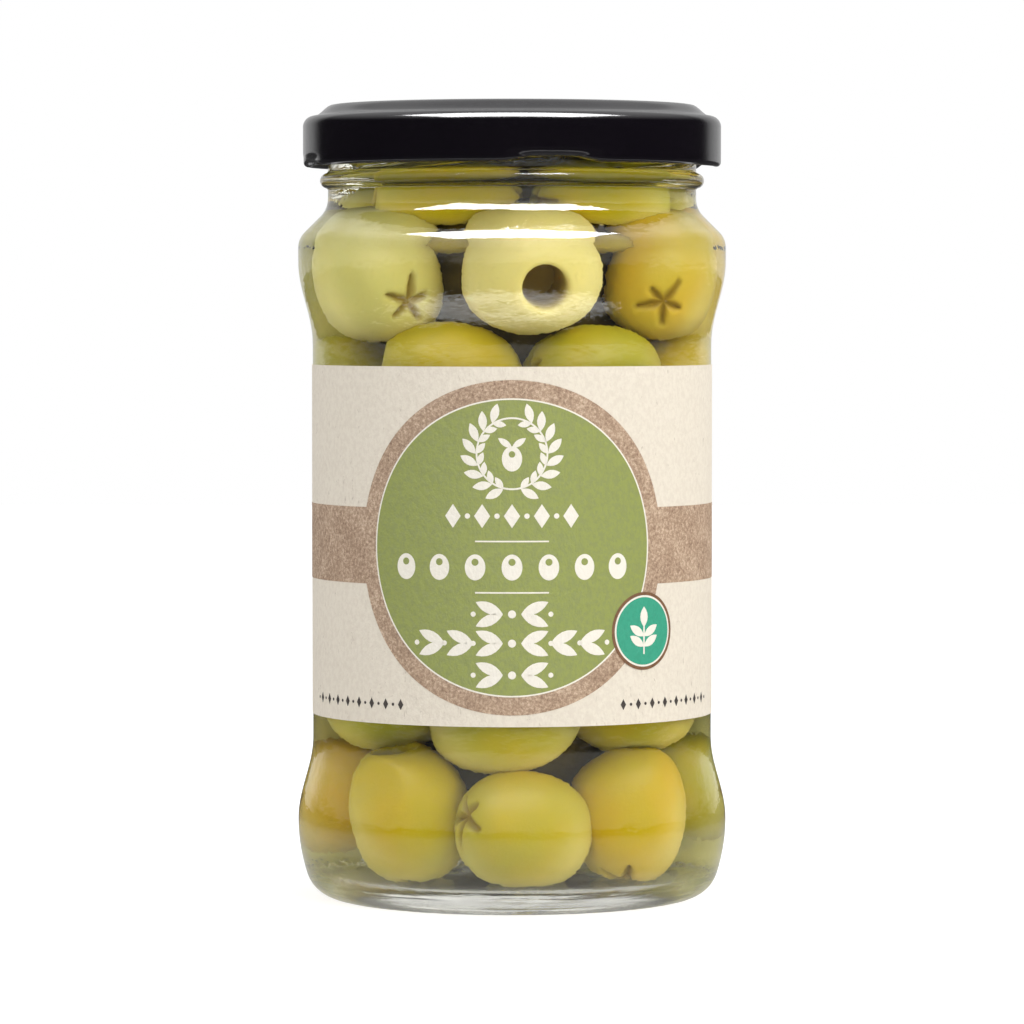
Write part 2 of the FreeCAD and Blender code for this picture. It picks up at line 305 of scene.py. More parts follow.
# %% [markdown]
# ## Clear finishes
# Real glass bends what is behind it and mirrors a little. Lamps must still reach the olives, so for
# rays that only ask whether a lamp is in the way, and for light that has already bounced softly, the
# glass steps aside for a Transparent shader. Brine gets the same treatment and a faint yellow tint. The
# base is the thickest glass: there it is greyer, a little frosted, and marked with fine level streaks.

# %% Glass and brine
def see_through(finish, shader, tint):
    path = finish.add("ShaderNodeLightPath")
    aside = finish.value(path, "Is Shadow Ray").most(finish.value(path, "Is Diffuse Ray"))
    clear = finish.add("ShaderNodeBsdfTransparent", None, {"Color": tint})
    mix = finish.add("ShaderNodeMixShader", None,
                     {0: aside, 1: shader.outputs[0], 2: clear.outputs[0]})
    finish.end(mix)


GLASS_IOR = 1.5
BRINE_IOR = 1.34

THICK_GLASS = (3 * MM, 6.5 * MM)
THIN_TINT = (0.99, 0.995, 0.985, 1)
THICK_TINT = (0.93, 0.93, 0.89, 1)
FROST = 0.16

clear_glass, finish = new_finish("clear_glass")
ripple = finish.noise(0.06, detail=2.0) + finish.noise(0.45, detail=2.0, stretch=(1, 1, 1.6)) * 0.12
height = finish.value(finish.add("ShaderNodeSeparateXYZ", None, {0: finish.place()}), "Z")
thick = 1 - height.above(*THICK_GLASS)
streaks = finish.noise(0.3, detail=3.0, stretch=(0.12, 0.12, 2.2)) * thick
see_through(finish, finish.surface({
    "Base Color": finish.mixed(thick, THIN_TINT, THICK_TINT),
    "Roughness": thick * FROST, "IOR": GLASS_IOR,
    "Transmission Weight": 1.0, "Normal": finish.bump(ripple + streaks * 0.4, 0.35)}), (1, 1, 1, 1))

pale_brine, finish = new_finish("pale_brine")
see_through(finish, finish.surface({
    "Base Color": (0.98, 0.975, 0.89, 1), "Roughness": 0.0, "IOR": BRINE_IOR,
    "Transmission Weight": 1.0}), (1, 1, 0.97, 1))
print("clear finishes written")

# %% [markdown]
# ## The glass jar
# A jar like this is blown into a mould: a foot ring with a vault inside it, a round heel, the lower
# belly, a recessed panel for the label, the upper belly, a shoulder, and a neck with a bead and four
# short threads. The wall has two faces, so the outline climbs the outside and comes down inside.

# %% Sizes of the glass, in millimetres
WALL = 2.2
NECK_WALL = 2.9
BASE = 4.0
PUSH_UP = 2.6
FOOT_WIDTH = 1.8
HEEL_ROUND = 5.4
INNER_HEEL_ROUND = 5.0
HEEL_INSET = 1.13
LOW_BELLY_LEVEL = 12.5
BELLY_BLEND = 13.2
BELLY_LAND = 2.1
HIGH_BELLY_RADIUS = 34.04
NECK_RADIUS = 29.3
NECK_LENGTH = 2.8
SHOULDER_ROUND = 3.5
NECK_ROUND = 4.0
SHOULDER_SLOPE = math.radians(45)
BEAD_DROP = 11.75
BEAD_ROUND = 1.25
FILLET_ROUND = 0.4
FILLET_LENGTH = 0.3
FILLET_OUT = 0.25
FILLET_UP = 0.05
RIM_ROUND = 1.1
INNER_NECK_EASE = 0.4
INNER_SHOULDER_DROP = 0.9
PAPER_THICKNESS = 0.12
RING_SEGMENTS = 160

rim = glass_high.z
low_belly_radius = glass_high.x
panel_radius = label_high.x - PAPER_THICKNESS
bead_level = rim - BEAD_DROP
neck_start = bead_level - NECK_LENGTH
bore = NECK_RADIUS - NECK_WALL
sag = 1 - math.cos(SHOULDER_SLOPE)
slope_run = HIGH_BELLY_RADIUS - NECK_RADIUS - (SHOULDER_ROUND + NECK_ROUND) * sag
shoulder_rise = (SHOULDER_ROUND + NECK_ROUND) * math.sin(SHOULDER_SLOPE)
shoulder_start = neck_start - shoulder_rise - slope_run / math.tan(SHOULDER_SLOPE)


def climb_wall(outline, side, heel, floor):
    """One face of the wall from its floor to the neck; side is how far it lies in from the outside."""
    belly = low_belly_radius - side
    across = heel + HEEL_INSET
    upward = LOW_BELLY_LEVEL - floor - heel
    belly_round = (across ** 2 + upward ** 2 - heel ** 2) / (2 * HEEL_INSET)
    share = heel / (belly_round - heel)
    outline.arc(belly - across + share * (belly_round - across), floor + heel - share * upward,
                heel, "left")
    outline.arc(belly, LOW_BELLY_LEVEL, belly_round, "left", fineness=3.0)
    outline.swell(panel_radius - side, LOW_BELLY_LEVEL + BELLY_BLEND)
    high_belly_level = shoulder_start - BELLY_LAND
    outline.line(panel_radius - side, high_belly_level - BELLY_BLEND, spacing=16.0)
    high_belly = HIGH_BELLY_RADIUS - side
    outline.swell(high_belly, high_belly_level)
    neck = bore + min(WALL - side, INNER_NECK_EASE) if side else NECK_RADIUS
    slope_start = shoulder_start - (INNER_SHOULDER_DROP if side else 0.0)
    outline.line(high_belly, slope_start)
    foot = slope_start + SHOULDER_ROUND * math.sin(SHOULDER_SLOPE)
    head = foot + (high_belly - neck - (SHOULDER_ROUND + NECK_ROUND) * sag) / math.tan(SHOULDER_SLOPE)
    outline.arc(high_belly - SHOULDER_ROUND * sag, foot, SHOULDER_ROUND, "left", fineness=5.0)
    outline.line(neck + NECK_ROUND * sag, head)
    outline.arc(neck, head + NECK_ROUND * math.sin(SHOULDER_SLOPE), NECK_ROUND, "right", fineness=5.0)


def vault(outline, edge, floor):
    """The shallow vault under or over the base, from the middle out to its edge."""
    radius = (edge ** 2 + PUSH_UP ** 2) / (2 * PUSH_UP)
    outline.arc(edge, floor, radius, "right", fineness=2.0)


def cavity_outline(side=WALL):
    """The jar's inside from the middle of its floor to the neck; a smaller side reaches into the wall."""
    floor = BASE - (WALL - side)
    outline = Outline(0, floor + PUSH_UP)
    vault(outline, low_belly_radius - side - HEEL_INSET - INNER_HEEL_ROUND, floor)
    climb_wall(outline, side, INNER_HEEL_ROUND, floor)
    return outline


# %% Thread ridges on the neck
THREAD_STARTS = 4
THREAD_LEVEL = 3.7
THREAD_PROUD = 1.6
THREAD_HALF = 1.15
THREAD_SWEEP = math.radians(95)
THREAD_TURN = math.radians(-10.5)
THREAD_TILT = math.tan(math.radians(5.5))
THREAD_TAPER = math.radians(9)


def thread_push(angle, level):
    """How far a thread stands out of the neck at this place; each rises anticlockwise from above."""
    push = 0.0
    for k in range(THREAD_STARTS):
        along = (angle - THREAD_TURN - k * math.tau / THREAD_STARTS + math.pi) % math.tau - math.pi
        if abs(along) > THREAD_SWEEP / 2:
            continue
        crest = bead_level + THREAD_LEVEL + (NECK_RADIUS + THREAD_PROUD) * math.sin(along) * THREAD_TILT
        off = abs(level - crest) / THREAD_HALF
        end = smooth(THREAD_SWEEP / 2 - abs(along), 0, THREAD_TAPER)
        if off < 1:
            push = max(push, THREAD_PROUD * end * math.cos(off * math.pi / 2) ** 0.8)
    return push


def make_glass():
    foot = low_belly_radius - HEEL_INSET - HEEL_ROUND
    outline = Outline(0, PUSH_UP)
    vault(outline, foot - FOOT_WIDTH, 0)
    outline.line(foot, 0)
    climb_wall(outline, 0, HEEL_ROUND, 0)
    # the bead, then the neck up to the rim
    bead_foot, bead_head = bead_level - BEAD_ROUND, bead_level + BEAD_ROUND
    outline.line(NECK_RADIUS, bead_foot - FILLET_LENGTH)
    outline.arc(NECK_RADIUS + FILLET_OUT, bead_foot + FILLET_UP, FILLET_ROUND, "right", fineness=30)
    outline.arc(NECK_RADIUS + BEAD_ROUND, bead_level, BEAD_ROUND, "left", fineness=12)
    outline.arc(NECK_RADIUS + FILLET_OUT, bead_head - FILLET_UP, BEAD_ROUND, "left", fineness=12)
    outline.arc(NECK_RADIUS, bead_head + FILLET_LENGTH, FILLET_ROUND, "right", fineness=30)
    outline.line(NECK_RADIUS, rim - RIM_ROUND, spacing=0.33)
    outline.arc(NECK_RADIUS - RIM_ROUND, rim, RIM_ROUND, "left", fineness=18)
    outline.line(bore + RIM_ROUND, rim)
    outline.arc(bore, rim - RIM_ROUND, RIM_ROUND, "left", fineness=18)
    outline.points += reversed(cavity_outline().points)
    bm = spun(outline.points, RING_SEGMENTS)
    for vert in bm.verts:
        out = math.hypot(vert.co.x, vert.co.y)
        if abs(out - NECK_RADIUS) < 0.01 and bead_head < vert.co.z < rim - RIM_ROUND:
            push = thread_push(math.atan2(vert.co.y, vert.co.x), vert.co.z)
            vert.co.xy *= 1 + push / out
    return piece_from(bm, "glass_jar", clear_glass, sharp=70, node="jar_glass")


make_glass()

# %% [markdown]
# ## The brine
# The brine fills the cavity. If it only touched the glass, a hair of air would show as a silver skin,
# so its own outline is a little larger than the cavity and its faces lie just inside the wall. At the
# top it creeps up the glass in a small meniscus.

# %% Make the brine
REACH_INTO_WALL = 0.25
MENISCUS = 0.7


def make_brine():
    outline = cavity_outline(WALL - REACH_INTO_WALL)
    edge = bore + REACH_INTO_WALL
    outline.line(edge, brine_high.z)
    outline.arc(edge - 2 * MENISCUS, brine_high.z - MENISCUS, 2 * MENISCUS, "right")
    outline.line(0, brine_high.z - MENISCUS)
    bm = spun(outline.points, RING_SEGMENTS)
    return piece_from(bm, "brine_fill", pale_brine, sharp=60, node="brine")


make_brine()

# %% [markdown]
# ## Where the olives lie
# The jar was filled with whole pitted olives, standing in rings against the glass with one in the
# middle. Those that show through the windows above and below the label are placed one by one. Each is
# given by its turn from the front, its distance from the axis and its level, by the way its pit hole
# faces, and by its half length, half thickness, tone from green (0) to golden (1) and paleness. The rest
# fill the rings evenly, and are then pushed apart where they crowd.

# %% The olives that show, placed one by one
class Olive:
    """One olive's place, the way its pit hole faces, its size and tone, and its paleness, partly painted
    light.
    """

    def __init__(self, turn, out, level, faces, half_length, half_thick, tone, pale=0.5, fixed=True):
        angle = math.radians(turn)
        self.spot = Vector((out * math.sin(angle), -out * math.cos(angle), level))
        self.faces = Vector(faces).normalized()
        self.half_length = half_length
        self.half_thick = half_thick
        self.tone = tone
        self.pale = pale
        self.fixed = fixed


# The last column lifts an olive pale: partly its own paler skin, partly painted light, as on the first two
# olives of the upper window.
SHOWN = [
    # the upper window: three large olives, and two lying across behind the shoulder
    Olive(-58.9, 22.0, 98.6, (-0.37, 0.85, 0.35), 11.2, 9.7, 0.10, 0.65),
    Olive(7.7, 20.4, 99.6, (0.24, -0.95, -0.19), 10.9, 9.7, 0.60, 0.85),
    Olive(69.5, 22.0, 98.4, (-0.15, 0.94, 0.28), 10.8, 9.2, 0.75, 0.15),
    Olive(-38.9, 14.8, 110.2, (-1.0, 0.1, 0.05), 11.0, 7.9, 0.50, 0.0),
    Olive(48.5, 17.4, 110.2, (0.93, 0.35, 0.0), 10.4, 7.8, 0.40, 0.0),
    Olive(-118, 12.6, 109.6, (0.3, 0.9, 0.2), 10.6, 8.2, 0.30, 0.2),
    Olive(116, 13.8, 109.8, (-0.4, 0.9, 0.1), 10.4, 8.2, 0.40, 0.2),
    # just under the label's upper edge
    Olive(-26.2, 20.0, 83.3, (-0.9, 0.2, 0.2), 10.6, 9.7, 0.45, 0.0),
    Olive(35.4, 20.0, 82.5, (0.9, 0.3, -0.1), 10.4, 9.6, 0.35, 0.0),
    Olive(-91.4, 20.2, 81.2, (0.1, 0.9, 0.3), 10.5, 9.0, 0.20, 0.1),
    Olive(93.0, 20.0, 81.2, (0.2, 0.9, 0.3), 10.5, 9.0, 0.50, 0.1),
    # the lower window: four on the floor and three above them
    Olive(-86.2, 22.5, 16.6, (0.9, -0.25, 0.2), 10.8, 9.0, 0.85, 0.10),
    Olive(-40.5, 22.6, 15.4, (-0.22, -0.02, 0.97), 11.0, 9.1, 0.50, 0.0),
    Olive(4.6, 22.6, 12.6, (0.86, 0.42, -0.26), 10.2, 8.7, 0.45, 0.05),
    Olive(47.2, 22.5, 15.0, (0.05, 0.25, 0.96), 10.5, 8.7, 0.70, 0.0),
    Olive(86.5, 22.6, 18.0, (-0.9, -0.25, 0.2), 10.4, 8.6, 0.30, 0.0),
    Olive(-3.3, 20.6, 29.7, (-0.85, 0.45, -0.25), 11.2, 8.8, 0.35, 0.1),
    Olive(-59.7, 20.6, 33.2, (-1.0, 0.1, 0.1), 10.6, 8.8, 0.25, 0.0),
    Olive(56.4, 20.4, 32.8, (1.0, 0.1, 0.05), 10.6, 8.8, 0.45, 0.0),
]

# %% The rest of the heap
random.seed(7)


def fill_ring(level, out, first, last, count):
    """Olives spread evenly between two turns, without the two ends, lying every way."""
    olives = []
    for k in range(1, count + 1):
        turn = first + (last - first) * k / (count + 1)
        faces = (random.uniform(-0.7, 0.7), random.uniform(-0.7, 0.7), random.choice((-1, 1)))
        olives.append(Olive(turn, out, level + random.uniform(-1, 1), faces, random.uniform(10.0, 11.2),
                            random.uniform(8.7, 9.5), random.random(), random.uniform(0.0, 0.4), False))
    return olives


HEAP = SHOWN + [
    *fill_ring(16, 22.4, 86.5, 273.8, 3),
    *fill_ring(31, 20.6, 56.4, 300.3, 3),
    *fill_ring(49, 20.4, 0, 360, 5),
    *fill_ring(66, 20.4, 30, 390, 5),
    *fill_ring(82, 20.2, 93, 268.6, 2),
    *fill_ring(99, 21.6, 69.5, 301.1, 3),
    *fill_ring(109.6, 17.6, 116, 242, 1),
]
LAST_RINGS = [olive for olive in HEAP if not olive.fixed]

cavity = [point for point in cavity_outline().points if point[1] >= BASE and point[0] > 20]


def cavity_radius(level):
    """The cavity's radius at a level, read off its outline."""
    for (x0, z0), (x1, z1) in zip(cavity, cavity[1:]):
        if z0 <= level < z1:
            return x0 + (x1 - x0) * (level - z0) / (z1 - z0)
    return cavity[0][0] if level < cavity[0][1] else bore


def push_apart(rounds=60, snug=0.93):
    """Move the hidden olives off their neighbours and off the wall."""
    for _ in range(rounds):
        for olive in LAST_RINGS:
            for other in HEAP:
                gap = olive.spot - other.spot
                reach = (olive.half_length + olive.half_thick * 2 + other.half_length
                         + other.half_thick * 2) / 3 * snug
                if other is not olive and 0 < gap.length < reach:
                    olive.spot += gap.normalized() * (reach - gap.length) * 0.5
            out = olive.spot.xy.length
            room = cavity_radius(olive.spot.z) - olive.half_thick - 0.6
            if out > room:
                olive.spot.xy *= room / out
            top = brine_high.z - MENISCUS - olive.half_thick
            olive.spot.z = min(max(olive.spot.z, BASE + olive.half_thick), top)


push_apart()
print(len(HEAP), "olives,", len(SHOWN), "of them placed by hand")

# %% [markdown]
# ## One olive
# A pitted olive is a barrel with a clean round hole at one end, where the stone was pushed out, and a
# star of small cuts at the other, where the pin went in. The outline runs from the bottom of the hole
# over its lip and along the flesh to the far tip. It is spun, then the star is pressed in and slow noise
# makes each olive a little different. Three numbers travel with every point for the finish to read. The
# side that faces out of the jar keeps the olive's own tone, and its flanks and underside get a painted
# sheen that makes them paler; for the listed olives, out of the jar means toward the front.

# %% Shape an olive
OLIVE_SEGMENTS = 44
HOLE_RADIUS = 3.4
HOLE_DEPTH = 8.5
LIP = 0.8
FULLNESS = 0.86
STAR_ARMS = 5
STAR_DEPTH = 1.2
STAR_WIDTH = 0.85
STAR_ZONE = 6.2
LUMP = 0.75
FINE_LUMP = 0.12
# how much painted sheen lifts an olive's flanks and underside
FLANK_PAINTED_SHEEN = 0.45
FINE_TIP = math.radians(146)


def olive_outline(half_length, half_thick):
    """Half the outline of a pitted olive: the hole at the top, the uncut tip at the bottom."""
    lip_out = HOLE_RADIUS + LIP
    lip_angle = math.asin((lip_out / half_thick) ** (1 / FULLNESS))
    lip_level = half_length * math.cos(lip_angle)
    outline = Outline(0, lip_level - HOLE_DEPTH)
    outline.line(HOLE_RADIUS - 0.6, lip_level - HOLE_DEPTH)
    outline.line(HOLE_RADIUS, lip_level - LIP, spacing=3.0)
    outline.arc(lip_out, lip_level, LIP, "right", fineness=25)
    angle = lip_angle
    while angle < math.pi - 0.01:
        angle += math.radians(6.5 if angle < FINE_TIP else 2.6)
        angle = min(angle, math.pi)
        outline.points.append((half_thick * math.sin(angle) ** FULLNESS, half_length * math.cos(angle)))
    return outline.points


def star_press(out, angle, arms):
    """How deep the star of cuts is at this place round the tip."""
    deepest = 0.0
    for arm_angle, arm_length in arms:
        if math.cos(angle - arm_angle) > 0:
            aside = out * math.sin(angle - arm_angle)
            width = STAR_WIDTH * (1.15 - 0.8 * min(out / arm_length, 1))
            cut = math.exp(-(aside / width) ** 2) * smooth(out, arm_length, arm_length * 0.75)
            deepest = max(deepest, cut)
    return deepest


def make_olive(olive, number):
    draw = random.Random(number)
    bm = spun(olive_outline(olive.half_length, olive.half_thick), OLIVE_SEGMENTS)
    layers = {name: bm.verts.layers.float.new(name) for name in ("tone", "pale", "cut")}
    arms = [(math.tau * (k + draw.uniform(-0.15, 0.15)) / STAR_ARMS, draw.uniform(3.4, 5.6))
            for k in range(STAR_ARMS)]
    lean = draw.uniform(-0.9, 0.9)
    squash = draw.uniform(0.95, 1.03)
    away = Vector((draw.uniform(0, 50), draw.uniform(0, 50), draw.uniform(0, 50)))
    turn = olive.faces.to_track_quat("Z", "Y").to_matrix() @ Matrix.Rotation(draw.uniform(0, 6), 3, "Z")
    outward = Vector((0, -1, 0)) if olive.fixed else Vector((*olive.spot.xy, 0)).normalized()
    lip_level = olive.half_length * 0.8
    for vert in bm.verts:
        x, y, z = vert.co
        out, angle = math.hypot(x, y), math.atan2(y, x)
        cut = 0.0
        if z < -0.6 * olive.half_length and out < STAR_ZONE:
            cut = star_press(out, angle, arms)
            vert.co.z += cut * STAR_DEPTH
        # in the hole, cut is painted shade that grows toward the hole's bottom
        elif z > 0 and out < HOLE_RADIUS + 0.05:
            cut = smooth(lip_level - z, -1.0, 3.0)
        lump = noise.noise(vert.co * 0.09 + away) * LUMP + noise.noise(vert.co * 0.25 + away) * FINE_LUMP
        vert.co += vert.co.normalized() * lump
        vert.co.x = vert.co.x * squash + lean * (z / olive.half_length) ** 2
        aim = turn @ vert.co
        way = aim.normalized()
        # painted sheen: paler where the surface turns away from out of the jar and faces down
        painted_sheen = smooth(way.dot(outward), 0.92, 0.3) * smooth(way.z, 0.9, -0.6)
        vert.co = aim + olive.spot
        vert[layers["tone"]] = olive.tone
        vert[layers["pale"]] = olive.pale + painted_sheen * FLANK_PAINTED_SHEEN
        vert[layers["cut"]] = cut
    return bm


# %% Keep every olive inside the glass
GLASS_CLEARANCE = 0.3


def press_on_glass(vert):
    """An olive that reaches the wall is pressed flat against it, and one at the top stays under."""
    room = cavity_radius(vert.co.z) - GLASS_CLEARANCE
    out = vert.co.xy.length
    if out > room:
        vert.co.xy *= room / out
    vault_level = BASE + PUSH_UP * (1 - min(out / 25.0, 1.0) ** 2)
    vert.co.z = min(max(vert.co.z, vault_level + GLASS_CLEARANCE), brine_high.z - MENISCUS - 0.2)


# %% [markdown]
# ## The olives' flesh
# Cured green olives run from grey-green to gold. The finish reads the three numbers of each point: tone
# picks the hue; paleness lifts it toward a waxy cream, partly the olive's own paleness and partly painted
# sheen and light; and cut darkens the star and paints shade into the hole, darker toward its bottom.
# Slow noise drifts the hue over each olive and fine noise freckles it. A little light passes through the
# flesh, which softens the shaded side.

# %% Olive finish
olive_flesh, finish = new_finish("olive_flesh")
drift = finish.noise(0.07, detail=2.0)
freckle = finish.noise(1.6, detail=3.0, roughness=0.65)
tone = finish.attribute("tone") + (drift - 0.5) * 0.9
hue = finish.add("ShaderNodeValToRGB", {"stops": [
    (0.0, srgb(164, 168, 52)), (0.35, srgb(182, 170, 32)),
    (0.65, srgb(202, 176, 20)), (1.0, srgb(220, 176, 10))]}, {0: tone})
# paleness, partly the olive's own and partly painted sheen and light, mixes the hue toward waxy cream
pale_and_painted_light_hue = finish.mixed(finish.attribute("pale") * 0.8, hue.outputs[0], srgb(248, 236, 158))
freckled = finish.mixed(freckle.above(0.56, 0.74) * 0.2, pale_and_painted_light_hue, srgb(168, 146, 44))
# cut darkens the star of cuts and, in the hole, paints shade
cut_and_hole_shade = finish.mixed(finish.attribute("cut") * 0.85, freckled, srgb(138, 108, 26))
finish.end(finish.surface({
    "Base Color": cut_and_hole_shade, "Roughness": finish.noise(0.4) * 0.15 + 0.4, "Specular IOR Level": 0.06,
    "Subsurface Weight": 0.25, "Subsurface Radius": (1.0, 0.75, 0.25), "Subsurface Scale": 2.0 * MM,
    "Normal": finish.bump(freckle + finish.noise(0.3) * 2.0, 0.05)}))

# %% Make all the olives
def make_olives():
    heap = bmesh.new()
    for number, olive in enumerate(HEAP):
        one = make_olive(olive, number)
        for vert in one.verts:
            press_on_glass(vert)
        mesh = bpy.data.meshes.new("one_olive")
        one.to_mesh(mesh)
        one.free()
        heap.from_mesh(mesh)
        bpy.data.meshes.remove(mesh)
    return piece_from(heap, "olives", olive_flesh, sharp=75)


make_olives()

# %% [markdown]
# ## The middle of the heap
# Between the olives the eye meets more olives, deep in their own shade. What can't be made out one by
# one is a lumpy core that stands where the middle olives are, coloured with painted shade.

# %% Make the core
CORE_RADIUS = 14.5
CORE_TAPER = 6.0
CORE_GAP_BELOW = 4.0
CORE_GAP_ABOVE = 8.0
CORE_END_BELOW = 10.0
CORE_END_ABOVE = 16.0
CORE_LUMP = 0.16

# the core's dark brown is painted shade, darker than an olive's own colour
deep_shade, finish = new_finish("deep_shade")
finish.end(finish.surface({
    "Base Color": finish.mixed(finish.noise(0.12), srgb(74, 62, 22), srgb(98, 84, 30)),
    "Roughness": 0.7, "Specular IOR Level": 0.05, "Normal": finish.bump(finish.noise(0.2), 1.0)}))


def make_core():
    vault_top = BASE + PUSH_UP
    outline = Outline(0, vault_top + CORE_GAP_BELOW)
    outline.line(CORE_RADIUS - CORE_TAPER, vault_top + CORE_GAP_BELOW, spacing=3)
    outline.line(CORE_RADIUS, vault_top + CORE_END_BELOW, spacing=3)
    outline.line(CORE_RADIUS, brine_high.z - CORE_END_ABOVE, spacing=3)
    outline.line(CORE_RADIUS - CORE_TAPER, brine_high.z - CORE_GAP_ABOVE, spacing=3)
    outline.line(0, brine_high.z - CORE_GAP_ABOVE, spacing=3)
    bm = spun(outline.points, 48)
    for vert in bm.verts:
        vert.co.xy *= 1 + CORE_LUMP * noise.noise(vert.co * 0.11)
    return piece_from(bm, "olive_core_in_painted_shade", deep_shade, sharp=75)


make_core()

# %% [markdown]
# ## The label's paper and inks
# The label is uncoated felt-marked paper: soft dents about a millimetre long and a few dark fibres.
# The same dents show through every ink, so one function gives the relief to all of them. The brown
# fields look like kraft board, which is a speckle of lighter and darker fibres.

# %% Paper and ink finishes
def felt_relief(finish, depth=0.2):
    marks = finish.noise(0.75, detail=4.0, roughness=0.62, stretch=(1.25, 1.25, 0.7), twist=0.4)
    return finish.bump(marks + finish.noise(2.5, detail=2.0) * 0.25, depth)


def ink(name, plain, other, share, flecks=0.0, roughness=0.75):
    """A paper or ink finish: a plain colour drifting to another, with sparse darker flecks."""
    material, finish = new_finish(name)
    grain = finish.noise(1.4, detail=4.0, roughness=0.7, stretch=(1, 1, 0.8)).above(0.4, 0.62)
    colour = finish.mixed(grain * share, plain, other)
    if flecks:
        fibre = finish.noise(1.1, detail=2.0, roughness=0.8, stretch=(1.2, 1.2, 0.5), twist=1.0)
        colour = finish.mixed(fibre.above(0.66, 0.72) * flecks, colour, srgb(150, 130, 110))
    finish.end(finish.surface({
        "Base Color": colour, "Roughness": roughness, "Specular IOR Level": 0.3,
        "Normal": felt_relief(finish)}))
    return material


cream_paper = ink("cream_paper", srgb(233, 224, 207), srgb(226, 216, 199), 1.0, flecks=0.35)
cream_ink = ink("cream_ink", srgb(243, 238, 225), srgb(238, 232, 218), 0.6)
green_ink = ink("green_ink", srgb(146, 155, 77), srgb(138, 147, 82), 0.9)
teal_ink = ink("teal_ink", srgb(52, 164, 132), srgb(46, 152, 122), 0.5, roughness=0.6)
brown_ink = ink("brown_ink", srgb(128, 90, 58), srgb(112, 78, 52), 0.8, roughness=0.6)
dark_ink = ink("dark_ink", srgb(58, 50, 46), srgb(70, 62, 56), 0.6)

kraft_print, finish = new_finish("kraft_print")
speckle = finish.noise(2.1, detail=4.0, roughness=0.8)
cloud = finish.noise(0.25, detail=2.0)
fibres = finish.noise(1.5, detail=2.0, roughness=0.8, stretch=(1.3, 1.3, 0.6), twist=1.5)
shade = finish.add("ShaderNodeValToRGB", {"stops": [
    (0.36, srgb(130, 102, 80)), (0.5, srgb(176, 148, 122)), (0.64, srgb(220, 196, 170))]},
    {0: speckle * 0.75 + cloud * 0.15 + fibres * 0.1})
finish.end(finish.surface({
    "Base Color": finish.mixed(fibres.above(0.66, 0.74) * 0.5, shade.outputs[0], srgb(112, 84, 64)),
    "Roughness": 0.8, "Specular IOR Level": 0.3, "Normal": felt_relief(finish)}))

# %% [markdown]
# ## Flat shapes wrapped on the jar
# Print is drawn flat, x along the label from its front line and y as the level, and then bent round
# the jar. Before bending, each flat shape is cut into narrow upright strips, all layers at the same
# places, so that layers a few hundredths of a millimetre apart never cut through one another.

# %% Flat shapes
STRIP = 1.2
INK_THICKNESS = 0.02

paper_radius = label_high.x
label_foot, label_head = label_low.z, label_high.z


def moved(x, y, lean=0.0, wide=1.0, tall=1.0):
    """A place on the flat label: scaled, leaned anticlockwise and moved."""
    turn = Matrix.Rotation(math.radians(lean), 4, "Z")
    return Matrix.Translation((x, y, 0)) @ turn @ Matrix.Diagonal((wide, tall, 1, 1))


def bar(bm, left, right, foot, head):
    spot = moved((left + right) / 2, (foot + head) / 2, 0, right - left, head - foot)
    bmesh.ops.create_grid(bm, x_segments=1, y_segments=1, size=0.5, matrix=spot)


def disc(bm, x, y, radius, tall=1.0, lean=0.0, sides=48):
    bmesh.ops.create_circle(bm, cap_ends=True, segments=sides, radius=radius,
                            matrix=moved(x, y, lean, 1, tall))


def ring(bm, x, y, outer, inner, sides=96):
    rim_verts = bmesh.ops.create_circle(bm, cap_ends=True, segments=sides, radius=outer,
                                        matrix=moved(x, y))["verts"]
    face = rim_verts[0].link_faces[0]
    bmesh.ops.inset_individual(bm, faces=[face], thickness=outer - inner, use_even_offset=True)
    bmesh.ops.delete(bm, geom=[face], context="FACES")


def leaf(bm, x, y, lean, length, width):
    """A pointed leaf whose stalk end is at (x, y)."""
    verts = bmesh.ops.create_circle(bm, cap_ends=True, segments=18, radius=1)["verts"]
    for vert in verts:
        vert.co.y *= abs(vert.co.y)
        vert.co.x += 1
    bmesh.ops.transform(bm, matrix=moved(x, y, lean, length / 2, width / 2), verts=verts)


def lozenge(bm, x, y, wide, tall):
    bmesh.ops.create_circle(bm, cap_ends=True, segments=4, radius=0.5,
                            matrix=moved(x, y, 0, wide, tall))


# %% Wrap a flat drawing round the jar
def wrapped(draw, name, material, lift, thickness=INK_THICKNESS, node=None):
    """Draw flat, cut into strips, thicken and bend round the jar; lift is the height over the paper."""
    bm = bmesh.new()
    draw(bm)
    reach = max(abs(vert.co.x) for vert in bm.verts)
    for k in range(-int(reach / STRIP), int(reach / STRIP) + 1):
        bmesh.ops.bisect_plane(bm, geom=bm.verts[:] + bm.edges[:] + bm.faces[:], dist=1e-5,
                               plane_co=(k * STRIP, 0, 0), plane_no=(1, 0, 0))
    bmesh.ops.recalc_face_normals(bm, faces=bm.faces)
    under = bmesh.ops.extrude_face_region(bm, geom=bm.faces[:], use_keep_orig=True)["geom"]
    bmesh.ops.translate(bm, vec=(0, 0, -thickness),
                        verts=[item for item in under if isinstance(item, bmesh.types.BMVert)])
    for vert in bm.verts:
        angle = vert.co.x / paper_radius
        out = paper_radius + lift + vert.co.z
        vert.co = (out * math.sin(angle), -out * math.cos(angle), vert.co.y)
    bmesh.ops.recalc_face_normals(bm, faces=bm.faces)
    return piece_from(bm, name, material, node=node)


# %% [markdown]
# ## The label
# The paper stops short of meeting itself at the back. A kraft band runs all round and widens into a
# ring about a green disc. What is printed on the disc is plain ornament: a wreath of leaves round an
# olive, rows of lozenges, olives and leaves in cream, and two thin rules.

